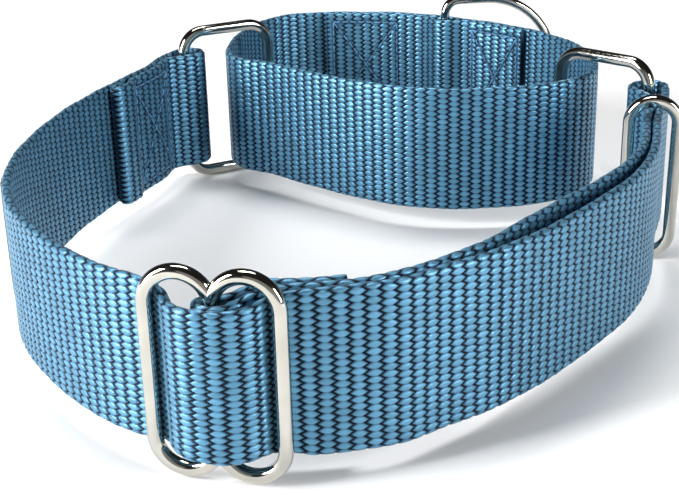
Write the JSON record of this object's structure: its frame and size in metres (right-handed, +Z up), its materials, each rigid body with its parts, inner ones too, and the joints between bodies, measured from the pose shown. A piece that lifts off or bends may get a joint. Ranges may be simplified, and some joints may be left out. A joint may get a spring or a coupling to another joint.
{
  "type": "martingale collar",
  "caption": "Webbing collar with a slide adjuster, keeper ring, two loop rings, a sliding control loop and a leash D-ring.",
  "frame": {"origin": "middle of the collar's footprint, on the surface it stands on", "axes": "+Z up across the webbing's width, +Y from the slide at the front to the D-ring at the back, +X to the right seen from the front"},
  "size_m": [0.1846, 0.2594, 0.052],
  "materials": {
    "webbing": "woven nylon",
    "nickel": "polished",
    "thread": "twisted nylon thread",
    "patch": "matte"
  },
  "bodies": {
    "neck_strap": {"blank_patch": "patch", "flap_stitching": "thread", "strap_end_flap": "webbing", "strap_end_hem": "webbing", "strap_fold_left": "webbing", "strap_fold_right": "webbing", "strap_inner_1": "webbing", "strap_inner_2": "webbing", "strap_inner_3": "webbing", "strap_inner_4": "webbing", "strap_inner_5": "webbing", "strap_inner_end": "webbing", "strap_left_1": "webbing", "strap_left_2": "webbing", "strap_left_3": "webbing", "strap_left_4": "webbing", "strap_left_5": "webbing", "strap_left_6": "webbing", "strap_over_slide": "webbing", "strap_right_1": "webbing", "strap_right_2": "webbing", "strap_right_3": "webbing", "strap_right_4": "webbing", "strap_right_5": "webbing", "strap_right_6": "webbing"},
    "adjuster": {"sewn_end_back": "webbing", "sewn_end_bend": "webbing", "sewn_end_front": "webbing", "sewn_end_stitching": "thread", "slide_frame": "nickel"},
    "keeper": {"keeper_ring": "nickel"},
    "left_ring": {"left_ring": "nickel"},
    "right_ring": {"right_ring": "nickel"},
    "control_loop": {"control_back_1": "webbing", "control_back_2": "webbing", "control_back_3": "webbing", "control_back_4": "webbing", "control_back_5": "webbing", "control_bend_left": "webbing", "control_bend_right": "webbing", "control_front_1": "webbing", "control_front_2": "webbing", "control_front_3": "webbing", "control_front_4": "webbing", "overlap_left": "webbing", "overlap_pocket": "webbing", "overlap_right": "webbing", "overlap_stitching_left": "thread", "overlap_stitching_right": "thread"},
    "d_ring": {"d_ring": "nickel"}
  },
  "joints": [
    {"name": "adjuster_travel", "type": "hinge", "parent": "neck_strap", "child": "adjuster", "pos_m": [-0.01607, -0.06252, 0.026], "axis": [0, 0, 1], "range_deg": [-5, 5], "deforming": ["strap_over_slide", "strap_inner_end"]},
    {"name": "keeper_travel", "type": "slide", "parent": "neck_strap", "child": "keeper", "axis": [0.1908, 0.9816, 0], "range_m": [-0.008, 0.003]},
    {"name": "left_ring_swing", "type": "hinge", "parent": "neck_strap", "child": "left_ring", "pos_m": [-0.05616, 0.07256, 0.026], "axis": [0, 0, 1], "range_deg": [-12, 12]},
    {"name": "right_ring_swing", "type": "hinge", "parent": "neck_strap", "child": "right_ring", "pos_m": [0.08608, 0.01708, 0.026], "axis": [0, 0, 1], "range_deg": [-8, 8]},
    {"name": "leash_pull", "type": "slide", "parent": "neck_strap", "child": "control_loop", "axis": [0, 1, 0], "range_m": [-0.003, 0.003]},
    {"name": "d_ring_swing", "type": "hinge", "parent": "control_loop", "child": "d_ring", "pos_m": [0.03402, 0.11306, 0.026], "axis": [0, 0, 1], "range_deg": [-10, 115]}
  ]
}
